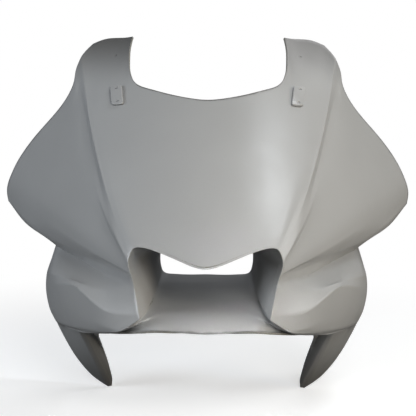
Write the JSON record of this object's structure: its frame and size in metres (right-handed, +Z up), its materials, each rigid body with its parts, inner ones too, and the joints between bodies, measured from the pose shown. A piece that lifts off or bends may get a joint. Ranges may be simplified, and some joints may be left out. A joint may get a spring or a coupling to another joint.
{
  "type": "motorcycle fairing",
  "caption": "Upper nose fairing moulded as one thin shell, with a central air intake duct, a cut-out for the screen between two ears, swept wings and two lower legs.",
  "frame": {"origin": "centre of the air duct's flat rear rim", "axes": "+X across the fairing, +Y back along the motorcycle and square to the duct's rear rim, +Z up; the nose points to -Y"},
  "size_m": [0.616, 0.4132, 0.526],
  "materials": {
    "primed_laminate": "satin grey primer on a glass-fibre laminate"
  },
  "bodies": {
    "root": {"fairing": "primed_laminate"}
  },
  "joints": []
}
